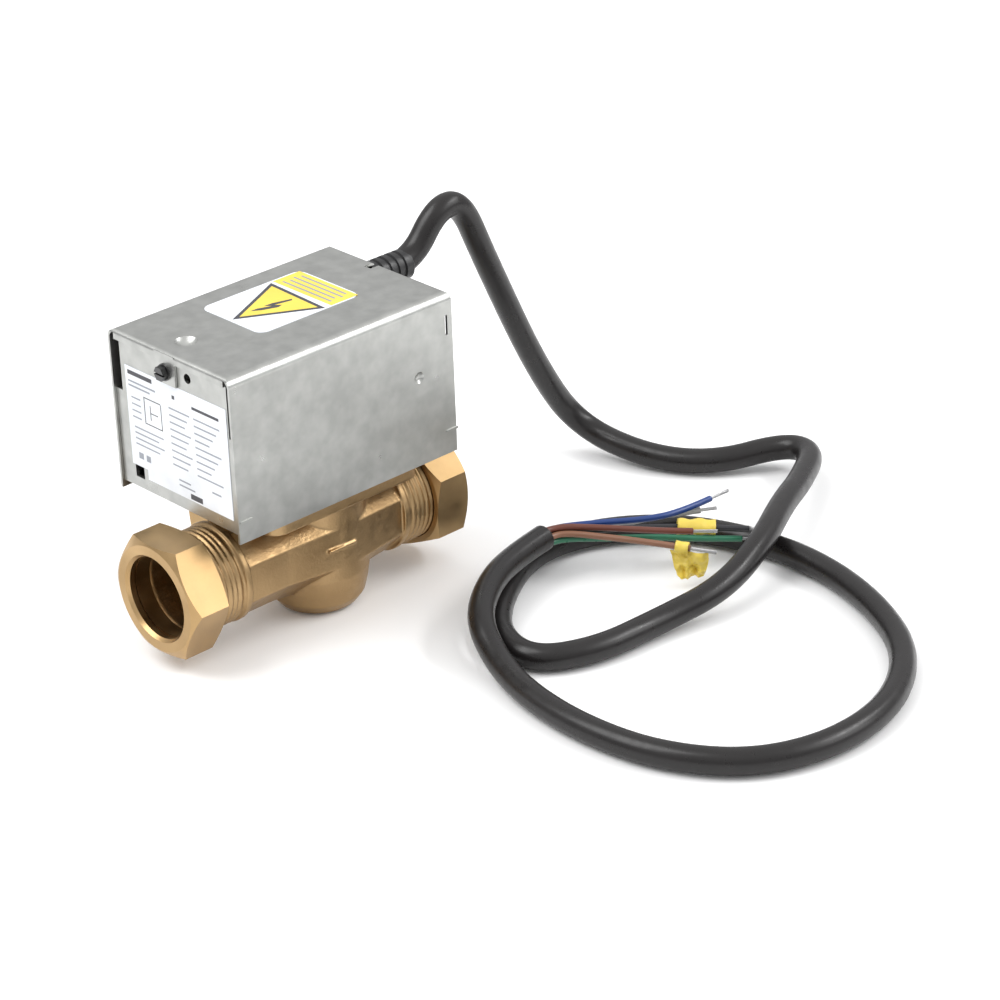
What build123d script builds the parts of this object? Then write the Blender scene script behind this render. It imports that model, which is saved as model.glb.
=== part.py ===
from build123d import *
import math
import os

# Motorised diverter valve for 28 mm copper pipe, in millimetres.
# X runs along the two in-line ports, +Y is the side port, +Z is up.
# The origin is on the floor under the middle of the footprint.

# ---- brass valve ----
PORT_Z = 26.0                 # height of the three pipe centrelines
PORT_Y = -10.0                # the in-line pipes run at this Y
STEM_X = 7.5                  # middle of the chamber and of the side port
CHAMBER_R = 18.0
CHAMBER_BORE_R = 14.5
CHAMBER_FLOOR_Z = 9.0
BOWL_FLAT_R = 10.0
DECK_BOTTOM_Z = 40.5
DECK_TOP_Z = 44.9
DECK_LENGTH = 65.0
DECK_WIDTH = 38.0
DECK_CORNER_R = 6.0
NECK_AF = 31.0                # octagonal necks, across the flats
FLARE_AF = 35.4               # the necks widen towards the chamber
FLARE_START = 24.5            # from the middle of the chamber
FLARE_END = 3.0
COLLAR_R = 17.3
COLLAR_LENGTH = 2.6
THREAD_R = 17.0
THREAD_DEPTH = 0.8
THREAD_PITCH = 2.0
SOCKET_R = 14.15              # takes a 28 mm pipe
SOCKET_DEPTH = 22.0
SIDE_SOCKET_DEPTH = 18.0
FLOW_R = 10.5
SEAT_HOLE_R = 5.6
SEAT_RING_R = 8.6
SEAT_PLANE = 11.5             # seat face to the middle of the chamber
NUT_AF = 38.0
NUT_LENGTH = 14.2
NUT_WALL = 3.2
NUT_INNER_R = 17.15
PORT_A_FACE = -60.3           # outer face of each nut
PORT_B_FACE = 60.3
PORT_AB_FACE = 33.5
NUT_TURN = {"a": 1.2, "b": 35.0, "ab": 30.0}
BODY_END_INSET = 8.0          # nut face to the end of the body
OLIVE_R = 15.9
OLIVE_END_R = 14.5
OLIVE_WIDTH = 5.7
CONE_DEPTH = 2.2

# ---- gasket, bonnet and screws ----
GASKET_THICK = 0.8
BONNET_THICK = 3.8
BONNET_Z = DECK_TOP_Z + GASKET_THICK
BASE_Z = BONNET_Z + BONNET_THICK
BONNET_SCREW_DX = 26.0
BONNET_SCREW_DY = 14.0
BONNET_SCREW_DEPTH = 4.7      # in the body, below the deck
HEAD_SCREW_DX = 18.0

# ---- stem, arm and ball ----
STEM_OFFSET = 9.5
STEM_Y = PORT_Y - STEM_OFFSET
STEM_R = 3.0
STEM_BOTTOM_Z = 31.0
STEM_TOP_Z = 64.0
RUNNING_FIT = 0.04
BALL_R = 7.5
BALL_TRAVEL = 6.4
ARM_LENGTH = math.hypot(STEM_OFFSET, BALL_TRAVEL)
SWING_DEG = math.degrees(math.asin(BALL_TRAVEL / ARM_LENGTH))
PARKED = Pos(STEM_X, STEM_Y, 0) * Rot(0, 0, SWING_DEG) * Pos(-STEM_X, -STEM_Y, 0)
ARM_Z = 36.0
ARM_THICK = 2.5
PEG_R = 2.0

# ---- steel head ----
HEAD_X0 = -42.0
HEAD_Y0 = -33.5
HEAD_Z0 = 47.0
HEAD_LENGTH = 94.0
HEAD_WIDTH = 61.4
HEAD_HEIGHT = 57.2
SKIN = 0.9
SKIN_BEND_R = 3.0
LIP = 2.2
LIP_BEND_R = 1.5
PLATE = 1.2
END_INSET = 1.0
HEAD_X1 = HEAD_X0 + HEAD_LENGTH
HEAD_Y1 = HEAD_Y0 + HEAD_WIDTH
HEAD_Z1 = HEAD_Z0 + HEAD_HEIGHT
FLOOR_Z = BASE_Z + PLATE
PLATE_TOP_Z = HEAD_Z1 - 1.6
NOTCH_Z = 83.0                # the end plates are narrower above this height
FRONT_FACE = HEAD_X0 + END_INSET
REAR_FACE = HEAD_X1 - END_INSET
FRONT_SCREW_Y = -1.1
FRONT_SCREW_Z = 97.4
HOOK_Y = 2.4                  # hook of the chassis and its notch in the cover
HOOK_WIDTH = 3.0
HOOK_LENGTH = 4.6
DIMPLE = (-31.5, 0.3)
STICKER_X = 9.15
STICKER_Y = 1.85
STICKER_LENGTH = 42.5
STICKER_WIDTH = 30.7
STICKER_THICK = 0.15
STICKER_CORNER_R = 3.5
WINDOW_Y = 18.0               # square hole in the front plate
WINDOW_Z = 55.4
WINDOW_SIDE = 4.5

# ---- drive ----
GEAR_Z = 55.0
GEAR_THICK = 2.4
SECTOR_R = 25.6
PINION_R = 4.0
TOOTH = 0.8
PINION_TEETH = 10
SECTOR_TEETH = 64
PINION_ANGLE = 90 + SWING_DEG - 10 * 360 / SECTOR_TEETH
SECTOR_HALF_ANGLE = 60.0
MOTOR_R = 23.0
MOTOR_Z = 66.0
MOTOR_HEIGHT = 24.0
MOTOR_WALL = 0.8
MOTOR_XY = (22.0, -2.0)
WHEEL_R = 8.0
WHEEL_TEETH = 20
ROTOR_TEETH = 6
SWITCH_X0 = -36.0
SWITCH_Y0 = -31.0
SPRING_R = 8.0
SPRING_WIRE_R = 0.6
SPRING_TURNS = 2
SPRING_PITCH = 1.45
SPRING_ANGLE = 25.0 + SWING_DEG

# ---- flex ----
CABLE_R = 4.5
CORE_R = 1.1
BARE_R = 0.5
BOOT_START = 48.6
BOOT_END = 68.0
BOOT_R = 5.0
BOOT_Y = 7.0
BOOT_Z = 98.0
BORE_CLEARANCE = 0.05
CABLE_ROUTE = [
    (61, 7, 98), (71, 7, 98), (82.5, 6.5, 113.4), (93.5, 6.2, 113.2), (103.2, 5.9, 89.8),
    (129.5, 9.3, 38), (148.5, 8.6, 8.7), (152, -23.3, 4.8), (165, -45, 4.8),
    (187.5, -57.5, 8.3), (188, -71.5, 9.7), (164, -86.5, 12), (143, -97, 14.6),
    (118, -111, 14.8), (92, -117.5, 9.5), (66, -111.5, 4.8), (40, -110.5, 4.8),
    (20.5, -100, 4.8), (25, -79, 4.8), (44, -61, 4.8), (72, -46, 4.8),
    (98, -50, 4.8), (120, -68, 4.8), (131, -94, 4.8), (133, -124, 4.8),
    (124, -156, 4.8), (107, -184, 4.8), (80, -201.5, 4.8), (50, -205, 4.8),
    (23, -195, 4.8), (7, -172, 4.8), (2, -144, 4.8), (4.5, -115, 4.8),
    (11, -94, 6.4), (17.8, -78.3, 12.5), (33, -66.5, 14.6), (51, -58.5, 14.9),
    (69.5, -55.5, 14.9)]
CORES = {
    "core_blue": [(66.2, -53.7, 15.6), (74, -52.5, 15.6), (87, -60.5, 15.6), (103, -72.5, 15.2),
                  (115.5, -76.3, 15.0), (129.3, -76.2, 14.6)],
    "core_grey": [(66.3, -54.6, 13.0), (74, -53.4, 13.0), (86, -58, 12.2), (98, -63.5, 12.0),
                  (108.4, -67.6, 12.0), (117.1, -71.7, 11.8), (124.3, -76.2, 12.0)],
    "core_black": [(66.5, -56.0, 14.9), (74, -54.8, 14.9), (87, -64.5, 14.6), (102, -76.2, 14.0),
                   (113.5, -85.8, 12.9), (126.0, -97.4, 11.6)],
    "core_brown": [(66.5, -56.0, 17.3), (74, -54.8, 17.3), (84.5, -66.5, 17.0), (93.5, -77.5, 16.6),
                   (100.3, -86, 16.5), (105.5, -90.8, 16.2)],
    "core_green": [(66.8, -57.4, 13.0), (74, -56.2, 13.0), (86, -67, 12.4), (99, -78.2, 12.0),
                   (110.5, -87.9, 10.4), (123.8, -96.0, 8.2)],
    "core_orange": [(66.9, -58.2, 15.6), (72.5, -57.3, 15.5), (77.5, -60.8, 15.4),
                    (83, -70.0, 15.3), (91.1, -83.5, 15.0), (98.7, -95.9, 14.0)]}
BARE_LENGTHS = {"core_blue": 9.0, "core_grey": 5.8, "core_black": 2.5, "core_brown": 8.2,
                "core_green": 3.0, "core_orange": 9.0}
SLEEVE_R = 2.7
SLEEVE_START = -24.5
SLEEVE_LENGTH = 13.0


def turned(profile, axis=Axis.Z):
    """Solid of revolution of (radius, height) points about Z."""
    points = [(radius, 0, height) for radius, height in profile]
    face = make_face(Polyline(*points, close=True))
    return revolve(face, axis)


def cylinder(x, y, z0, radius, z1):
    """Upright cylinder between two heights."""
    return Pos(x, y, (z0 + z1) / 2) * Cylinder(radius, z1 - z0)


def block(x0, x1, y0, y1, z0, z1):
    """Box between two corners."""
    middle = Pos((x0 + x1) / 2, (y0 + y1) / 2, (z0 + z1) / 2)
    return middle * Box(x1 - x0, y1 - y0, z1 - z0)


def save(shape, name):
    export_step(shape, f"parts/{name}.step")


def turn_radii(points):
    """Bend radius at each inner point: 0.45 of the shorter run over tan(half turn)."""
    radii = []
    for before, here, after in zip(points, points[1:], points[2:]):
        run_in = Vector(*here) - Vector(*before)
        run_out = Vector(*after) - Vector(*here)
        half_turn = math.radians(run_in.get_angle(run_out)) / 2
        radii.append(0.45 * min(run_in.length, run_out.length) / math.tan(half_turn))
    return radii


def tube(points, radius):
    """Round cord along straight runs joined by tangent arcs."""
    path = FilletPolyline(*points, radius=turn_radii(points))
    start = Plane(origin=path @ 0, z_dir=path % 0)
    return sweep(start * Circle(radius), path=path), path


# ---- the ports: each is built upright about Z and then laid on its axis ----

def port_places():
    """Name, location of the nut's outer face with local +Z pointing outwards."""
    return {
        "a": Location(Plane((PORT_A_FACE, PORT_Y, PORT_Z), x_dir=(0, 1, 0), z_dir=(-1, 0, 0))),
        "b": Location(Plane((PORT_B_FACE, PORT_Y, PORT_Z), x_dir=(0, 1, 0), z_dir=(1, 0, 0))),
        "ab": Location(Plane((STEM_X, PORT_AB_FACE, PORT_Z), x_dir=(1, 0, 0), z_dir=(0, 1, 0)))}


def port_reach():
    """Distance from each nut's outer face to the middle of the chamber."""
    return {"a": STEM_X - PORT_A_FACE, "b": PORT_B_FACE - STEM_X, "ab": PORT_AB_FACE - PORT_Y}


def port_nut():
    """Hexagon nut with chamfered corners, its outer face at z = 0."""
    blank = Pos(0, 0, -NUT_LENGTH / 2) * extrude(
        RegularPolygon(NUT_AF / 2, 6, major_radius=False), NUT_LENGTH / 2, both=True)
    corner_r = NUT_AF / 2 / math.cos(math.pi / 6)
    envelope = turned([
        (0, 0), (NUT_AF / 2 - 0.6, 0), (corner_r + 0.2, -2.2), (corner_r + 0.2, -NUT_LENGTH + 1.2),
        (NUT_AF / 2, -NUT_LENGTH), (0, -NUT_LENGTH)])
    bore = turned([
        (0, 1), (SOCKET_R + 1.6, 1), (SOCKET_R + 1.0, 0), (SOCKET_R, -1.2),
        (SOCKET_R, -NUT_WALL), (NUT_INNER_R, -NUT_WALL - 2.0),
        (NUT_INNER_R, -NUT_LENGTH - 1), (0, -NUT_LENGTH - 1)])
    return (blank & envelope) - bore


def olive():
    """Soft ring with two tapered shoulders, between the nut and the body's cone."""
    top = -NUT_WALL - 0.4
    bottom = top - OLIVE_WIDTH
    return turned([
        (SOCKET_R, top), (SOCKET_R + 0.4, top), (OLIVE_R, top - 1.4),
        (OLIVE_R, top - 2.7), (OLIVE_END_R, bottom), (SOCKET_R, bottom)])


def port_outside(reach):
    """Threaded spigot, collar and octagonal neck as far as the chamber."""
    end = -BODY_END_INSET
    thread_end = -NUT_LENGTH - 10.4
    profile = [(0, end), (THREAD_R - 1.4, end), (THREAD_R - THREAD_DEPTH, end - 1.2)]
    height = end - 1.8
    while height - THREAD_PITCH > thread_end:
        profile.append((THREAD_R, height - 0.3 * THREAD_PITCH))
        profile.append((THREAD_R, height - 0.5 * THREAD_PITCH))
        profile.append((THREAD_R - THREAD_DEPTH, height - 0.8 * THREAD_PITCH))
        height -= THREAD_PITCH
    profile += [(THREAD_R - THREAD_DEPTH, thread_end), (COLLAR_R, thread_end - 0.4),
                (COLLAR_R, thread_end - COLLAR_LENGTH), (0, thread_end - COLLAR_LENGTH)]
    neck_top = thread_end - COLLAR_LENGTH
    octagon = RegularPolygon(NECK_AF / 2, 8, major_radius=False, rotation=22.5)
    neck = Pos(0, 0, neck_top) * extrude(octagon, -(reach + neck_top))
    root = RegularPolygon(FLARE_AF / 2, 8, major_radius=False, rotation=22.5)
    flare = loft([Pos(0, 0, FLARE_START - reach) * octagon, Pos(0, 0, FLARE_END - reach) * root])
    return turned(profile) + neck + flare


def port_bore(reach, socket_depth, seat):
    """Cone for the olive, pipe socket and flow bore; a seat hole or an open end."""
    end = -BODY_END_INSET
    cone_r = OLIVE_END_R + 0.62
    socket_end = end - socket_depth
    flow_end = -reach + (CHAMBER_BORE_R + 2.0 if seat else 5.0)
    profile = [(0, end + 1), (cone_r, end + 1), (cone_r, end), (SOCKET_R, end - CONE_DEPTH),
               (SOCKET_R, socket_end), (FLOW_R, socket_end - 1.0), (FLOW_R, flow_end)]
    if seat:
        profile += [(SEAT_HOLE_R, flow_end - 1), (SEAT_HOLE_R, -reach + 5), (0, -reach + 5)]
    else:
        profile += [(0, flow_end)]
    return turned(profile)


def valve_body():
    bowl = turned([
        (0, 0), (BOWL_FLAT_R, 0), (BOWL_FLAT_R + 3.6, 1.0), (BOWL_FLAT_R + 6.0, 4.2),
        (CHAMBER_R - 0.8, 9.0), (CHAMBER_R, 14.0), (CHAMBER_R, DECK_TOP_Z), (0, DECK_TOP_Z)])
    body = Pos(STEM_X, PORT_Y, 0) * bowl
    deck = extrude(RectangleRounded(DECK_LENGTH, DECK_WIDTH, DECK_CORNER_R), DECK_TOP_Z - DECK_BOTTOM_Z)
    body += Pos(STEM_X, PORT_Y, DECK_BOTTOM_Z) * deck
    places = port_places()
    reach = port_reach()
    for port, place in places.items():
        body += place * port_outside(reach[port])
    arrow = block(STEM_X - 9, STEM_X + 3, PORT_Y - CHAMBER_R - 0.7, PORT_Y - CHAMBER_R + 3,
                  PORT_Z + 0.2, PORT_Z + 1.1)
    body += arrow
    body -= cylinder(STEM_X, PORT_Y, CHAMBER_FLOOR_Z, CHAMBER_BORE_R, DECK_TOP_Z + 1)
    for side in (-1, 1):
        face_x = STEM_X + side * SEAT_PLANE
        ring = Pos((face_x + STEM_X + side * (CHAMBER_BORE_R + 1)) / 2, PORT_Y, PORT_Z) * Rot(0, 90, 0)
        body += ring * Cylinder(SEAT_RING_R, CHAMBER_BORE_R + 1 - SEAT_PLANE)
    body -= places["a"] * port_bore(reach["a"], SOCKET_DEPTH, True)
    body -= places["b"] * port_bore(reach["b"], SOCKET_DEPTH, True)
    body -= places["ab"] * port_bore(reach["ab"], SIDE_SOCKET_DEPTH, False)
    for x, y in bonnet_screw_places():
        body -= cylinder(x, y, DECK_TOP_Z - BONNET_SCREW_DEPTH - 0.8, 1.7, DECK_TOP_Z + 1)
    return body


# ---- bonnet, gasket and screws ----

def bonnet_screw_places():
    return [(STEM_X + dx, PORT_Y + dy)
            for dx in (-BONNET_SCREW_DX, BONNET_SCREW_DX)
            for dy in (-BONNET_SCREW_DY, BONNET_SCREW_DY)]


def head_screw_places():
    return [(STEM_X - HEAD_SCREW_DX, PORT_Y + 2), (STEM_X + HEAD_SCREW_DX, PORT_Y + 2)]


def rounded_slab(z, thick, inset=0.0):
    outline = RectangleRounded(DECK_LENGTH - 2 * inset, DECK_WIDTH - 2 * inset, DECK_CORNER_R - inset)
    return Pos(STEM_X, PORT_Y, z) * extrude(outline, thick)


def bonnet_gasket():
    gasket = rounded_slab(DECK_TOP_Z, GASKET_THICK, 0.4)
    gasket -= cylinder(STEM_X, PORT_Y, DECK_TOP_Z - 1, CHAMBER_BORE_R, BONNET_Z + 1)
    for x, y in bonnet_screw_places():
        gasket -= cylinder(x, y, DECK_TOP_Z - 1, 2.1, BONNET_Z + 1)
    return gasket


def bonnet_plate():
    plate = rounded_slab(BONNET_Z, BONNET_THICK)
    plate -= cylinder(STEM_X, STEM_Y, BONNET_Z - 1, STEM_R + RUNNING_FIT, BASE_Z + 1)
    plate -= cylinder(STEM_X, STEM_Y, BONNET_Z + 0.8, 5.0, BONNET_Z + 3.0)
    for x, y in bonnet_screw_places():
        plate -= cylinder(x, y, BONNET_Z - 1, 2.1, BASE_Z + 1)
        plate -= Pos(x, y, BASE_Z - 1.1) * Cone(2.1, 4.3, 2.21)
    for x, y in head_screw_places():
        plate -= cylinder(x, y, BONNET_Z + 0.6, 2.0, BASE_Z + 1)
    return plate


def bonnet_screws():
    screws = []
    for x, y in bonnet_screw_places():
        head = Pos(x, y, BASE_Z - 1.1) * Cone(2.0, 4.1, 2.1)
        shank = cylinder(x, y, DECK_TOP_Z - BONNET_SCREW_DEPTH, 1.7, BASE_Z - 1.5)
        slot = Pos(x, y, BASE_Z) * Box(9, 1.0, 1.2)
        screws.append(head + shank - slot)
    return Compound(screws)


def head_screws():
    screws = []
    for x, y in head_screw_places():
        head = cylinder(x, y, FLOOR_Z, 3.6, FLOOR_Z + 2.0)
        shank = cylinder(x, y, BONNET_Z + 0.8, 2.0, FLOOR_Z + 0.5)
        slot = Pos(x, y, FLOOR_Z + 2.0) * Box(8, 1.0, 1.6)
        screws.append(head + shank - slot)
    return Compound(screws)


def stem_o_ring():
    return Pos(STEM_X, STEM_Y, BONNET_Z + 1.9) * Torus(STEM_R + 1.02, 0.98)


# ---- the moving valve parts: drawn half way, saved with the ball on the seat of port A ----

def valve_stem():
    stem = cylinder(STEM_X, STEM_Y, STEM_BOTTOM_Z, STEM_R, STEM_TOP_Z)
    flat = Pos(STEM_X, STEM_Y - STEM_R, (GEAR_Z + STEM_TOP_Z) / 2) * Box(8, 1.6, STEM_TOP_Z - GEAR_Z)
    groove_z = BASE_Z + 0.6 + PLATE
    groove = cylinder(STEM_X, STEM_Y, groove_z, STEM_R + 1, groove_z + 0.9)
    groove -= cylinder(STEM_X, STEM_Y, groove_z - 1, STEM_R - 0.5, groove_z + 2)
    return stem - flat - groove


def stem_clip():
    z = BASE_Z + 0.6 + PLATE
    ring = cylinder(STEM_X, STEM_Y, z + 0.05, 4.8, z + 0.85)
    ring -= cylinder(STEM_X, STEM_Y, z - 1, STEM_R - 0.45, z + 2)
    ring -= Pos(STEM_X, STEM_Y - 4, z) * Box(3.2, 6, 4)
    return ring


def ball_arm():
    hub = cylinder(STEM_X, STEM_Y, ARM_Z - 2.4, 4.2, ARM_Z + ARM_THICK)
    bar = block(STEM_X - 2.6, STEM_X + 2.6, STEM_Y, STEM_Y + ARM_LENGTH, ARM_Z, ARM_Z + ARM_THICK)
    eye = cylinder(STEM_X, STEM_Y + ARM_LENGTH, ARM_Z, 3.6, ARM_Z + ARM_THICK)
    peg = cylinder(STEM_X, STEM_Y + ARM_LENGTH, PORT_Z - BALL_R - 1.2, PEG_R, ARM_Z + 0.5)
    arm = hub + bar + eye + peg
    return arm - cylinder(STEM_X, STEM_Y, ARM_Z - 4, STEM_R, ARM_Z + ARM_THICK + 2)


def seat_ball():
    ball = Pos(STEM_X, STEM_Y + ARM_LENGTH, PORT_Z) * Sphere(BALL_R)
    return ball - cylinder(STEM_X, STEM_Y + ARM_LENGTH, PORT_Z - 10, PEG_R, PORT_Z + 10)


# ---- steel head ----

def end_plate(face, into):
    """One upright end of the chassis; into is +1 when the plate lies towards +X."""
    x0, x1 = sorted((face, face + into * PLATE))
    wide = block(x0, x1, HEAD_Y0 + SKIN + 0.1, HEAD_Y1 - SKIN - 0.1, BASE_Z, NOTCH_Z)
    narrow = block(x0, x1, HEAD_Y0 + SKIN + 2.0, HEAD_Y1 - SKIN - 3.4, BASE_Z, PLATE_TOP_Z)
    return wide + narrow


def chassis():
    frame = block(FRONT_FACE, REAR_FACE, HEAD_Y0 + SKIN + 0.1, HEAD_Y1 - SKIN - 0.1, BASE_Z, FLOOR_Z)
    frame += end_plate(FRONT_FACE, 1)
    frame += end_plate(REAR_FACE, -1)
    frame += block(REAR_FACE - HOOK_LENGTH - 0.4, REAR_FACE, HOOK_Y - HOOK_WIDTH / 2,
                   HOOK_Y + HOOK_WIDTH / 2, PLATE_TOP_Z - 0.5, HEAD_Z1 - SKIN - 0.3)
    frame -= Pos(FRONT_FACE, FRONT_SCREW_Y, FRONT_SCREW_Z) * Rot(0, 90, 0) * Cylinder(1.6, 8)
    frame -= Pos(FRONT_FACE, FRONT_SCREW_Y - 10.2, FRONT_SCREW_Z + 0.4) * Rot(0, 90, 0) * Cylinder(1.7, 8)
    frame -= Pos(FRONT_FACE, WINDOW_Y, WINDOW_Z) * Box(8, WINDOW_SIDE, WINDOW_SIDE)
    frame -= cylinder(STEM_X, STEM_Y, BASE_Z - 1, STEM_R + 0.5, FLOOR_Z + 1)
    for x, y in head_screw_places():
        frame -= cylinder(x, y, BASE_Z - 1, 2.1, FLOOR_Z + 1)
    frame += spring_anchor()
    notch = block(REAR_FACE - 3, REAR_FACE + 3, BOOT_Y - 4.0, BOOT_Y + 4.0, BOOT_Z, HEAD_Z1)
    frame -= notch
    frame -= Pos(REAR_FACE, BOOT_Y, BOOT_Z) * Rot(0, 90, 0) * Cylinder(4.0, 6)
    return frame


def spring_anchor():
    """Lug of the base that the lower leg of the return spring rests on."""
    lug = block(8.65, 9.85, -3.0, 0.5, FLOOR_Z - 0.2, FLOOR_Z + 2.2)
    return Pos(STEM_X, STEM_Y, 0) * Rot(0, 0, SPRING_ANGLE) * lug


def pressed(shell, middle, radius):
    """Round dimple pressed into the sheet, with its bulge inside."""
    bulge = Pos(*middle) * Sphere(radius + SKIN)
    keep = block(HEAD_X0, HEAD_X1, HEAD_Y0 + SKIN / 2, HEAD_Y1 - SKIN / 2, HEAD_Z0, HEAD_Z1 - SKIN / 2)
    return shell + (bulge & keep) - Pos(*middle) * Sphere(radius)


def cover():
    width = RectangleRounded(HEAD_WIDTH, 2 * HEAD_HEIGHT, SKIN_BEND_R)
    inner = RectangleRounded(HEAD_WIDTH - 2 * SKIN, 2 * (HEAD_HEIGHT - SKIN), SKIN_BEND_R - SKIN)
    section = Plane((HEAD_X0, (HEAD_Y0 + HEAD_Y1) / 2, HEAD_Z0), x_dir=(0, 1, 0), z_dir=(1, 0, 0))
    shell = extrude(section * (width - inner), HEAD_LENGTH)
    shell &= block(HEAD_X0 - 1, HEAD_X1 + 1, HEAD_Y0 - 1, HEAD_Y1 + 1, HEAD_Z0, HEAD_Z1 + 1)
    for x0 in (HEAD_X0, HEAD_X1 - SKIN):
        shell += block(x0, x0 + SKIN, HEAD_Y0 + SKIN_BEND_R, HEAD_Y1 - SKIN_BEND_R,
                       HEAD_Z1 - SKIN - LIP, HEAD_Z1 - SKIN / 2)
    envelope = Plane.XZ * RectangleRounded(HEAD_LENGTH, 2 * HEAD_HEIGHT, LIP_BEND_R)
    envelope = Pos((HEAD_X0 + HEAD_X1) / 2, 0, HEAD_Z0) * extrude(envelope, HEAD_WIDTH, both=True)
    shell &= envelope
    shell += block(HEAD_X0, HEAD_X0 + SKIN, FRONT_SCREW_Y - 5, FRONT_SCREW_Y + 5,
                   FRONT_SCREW_Z - 4.2, HEAD_Z1 - SKIN / 2)
    shell -= Pos(HEAD_X0, FRONT_SCREW_Y, FRONT_SCREW_Z) * Rot(0, 90, 0) * Cylinder(1.75, 6)
    shell -= block(HEAD_X1 - HOOK_LENGTH, HEAD_X1 + 1, HOOK_Y - HOOK_WIDTH / 2 - 0.1,
                   HOOK_Y + HOOK_WIDTH / 2 + 0.1, HEAD_Z1 - 5, HEAD_Z1 + 1)
    shell = pressed(shell, (*DIMPLE, HEAD_Z1 + 3.0), 4.9)
    for y, outward in ((HEAD_Y0, -1), (HEAD_Y1, 1)):
        shell = pressed(shell, (36.6, y + outward * 1.6, 78.6), 2.6)
        shell -= Pos(HEAD_X1 - 2.6, y, 93.3) * Box(1.0, 4, 7.0)
    shell -= block(HEAD_X1 - 3, HEAD_X1 + 1, BOOT_Y - BOOT_R - 0.5, BOOT_Y + BOOT_R + 0.5,
                   HEAD_Z0, HEAD_Z1 - SKIN)
    shell -= block(STEM_X - 9, STEM_X + 9, HEAD_Y1 - 3, HEAD_Y1 + 1, HEAD_Z0 - 1, HEAD_Z0 + 1.4)
    return shell


def hex_screw(length):
    """Slotted hexagon screw with a thin flange, head up, seat at z = 0."""
    flange = Pos(0, 0, 0.3) * Cylinder(2.9, 0.6)
    head = extrude(RegularPolygon(2.2, 6, major_radius=False), 2.6)
    shank = Pos(0, 0, -length / 2) * Cylinder(1.6, length)
    slot = Pos(0, 0, 2.6) * Box(8, 0.7, 1.6)
    return flange + head + shank - slot


def cover_screw():
    seat = Plane((HEAD_X0, FRONT_SCREW_Y, FRONT_SCREW_Z), x_dir=(0, 1, 0), z_dir=(-1, 0, 0))
    return Location(seat) * hex_screw(5.0)


def front_label():
    label = block(FRONT_FACE - 0.2, FRONT_FACE, HEAD_Y0 + 3.6, HEAD_Y1 - 6.6, 57.6, 93.0)
    lower = block(FRONT_FACE - 0.2, FRONT_FACE, HEAD_Y0 + 3.6, 13.5, 54.0, 57.7)
    return label + lower


def top_sticker():
    """Thin sheet with rounded corners on the cover's top."""
    outline = RectangleRounded(STICKER_LENGTH, STICKER_WIDTH, STICKER_CORNER_R)
    return Pos(STICKER_X, STICKER_Y, HEAD_Z1) * extrude(outline, STICKER_THICK)


# ---- drive ----

def toothed(radius, thick, count):
    """Spur gear blank with simple trapezoid teeth, from z = 0 upwards."""
    root = radius - 1.1 * TOOTH
    gear = extrude(Circle(root), thick)
    pitch = 2 * math.pi * radius / count
    tooth = make_face(Polyline(
        (root - 0.5, -pitch * 0.30), (radius, -pitch * 0.22), (radius + 0.8 * TOOTH, -pitch * 0.10),
        (radius + 0.8 * TOOTH, pitch * 0.10), (radius, pitch * 0.22), (root - 0.5, pitch * 0.30),
        close=True))
    teeth = [Rot(0, 0, 360 * i / count) * extrude(tooth, thick) for i in range(count)]
    return gear.fuse(*teeth)


def sector_gear():
    gear = Rot(0, 0, 90) * toothed(SECTOR_R, GEAR_THICK, SECTOR_TEETH)
    half_angle = math.radians(SECTOR_HALF_ANGLE)
    far = 2 * SECTOR_R
    wedge = make_face(Polyline(
        (0, 0), (far * math.cos(math.pi / 2 - half_angle), far * math.sin(math.pi / 2 - half_angle)),
        (0, 2 * far),
        (far * math.cos(math.pi / 2 + half_angle), far * math.sin(math.pi / 2 + half_angle)),
        close=True))
    gear &= extrude(wedge, GEAR_THICK)
    gear += extrude(Circle(6.5), GEAR_THICK)
    window = extrude(SlotArc(CenterArc((0, 0), 15.5, 50, 80), 7.0), GEAR_THICK)
    gear -= window
    gear += Pos(0, 0, GEAR_THICK / 2 + 1.4) * Cylinder(5.2, GEAR_THICK + 2.8)
    gear -= Pos(0, 0, 2) * Cylinder(STEM_R, 20)
    gear += Pos(0, -STEM_R + 0.2, GEAR_THICK / 2 + 1.4) * Box(4.0, 1.1, GEAR_THICK + 2.8)
    gear += Rot(0, 0, SPRING_ANGLE - SWING_DEG) * Pos(10.2, 5.0, -0.7) * Cylinder(1.4, 2.6)
    return Pos(STEM_X, STEM_Y, GEAR_Z) * gear


def pinion_place():
    angle = math.radians(PINION_ANGLE)
    reach = SECTOR_R + PINION_R + 0.12
    return STEM_X + reach * math.cos(angle), STEM_Y + reach * math.sin(angle)


def motor_pinion():
    x, y = pinion_place()
    turn = Rot(0, 0, PINION_ANGLE + 180 / PINION_TEETH)
    gear = turn * toothed(PINION_R, GEAR_THICK + 0.8, PINION_TEETH)
    shaft = cylinder(x, y, GEAR_Z + 1, 1.5, MOTOR_Z + 7.2)
    return Pos(x, y, GEAR_Z - 0.4) * gear + shaft


def rotor_direction():
    """Distance and angle from the wheel on the output shaft to the rotor."""
    x, y = pinion_place()
    dx, dy = MOTOR_XY[0] - x, MOTOR_XY[1] - y
    return math.hypot(dx, dy), math.degrees(math.atan2(dy, dx))


def reduction_wheel():
    x, y = pinion_place()
    _, angle = rotor_direction()
    wheel = Rot(0, 0, angle) * toothed(WHEEL_R, 1.6, WHEEL_TEETH)
    wheel -= Cylinder(1.5, 10)
    return Pos(x, y, MOTOR_Z + 3.4) * wheel


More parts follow.
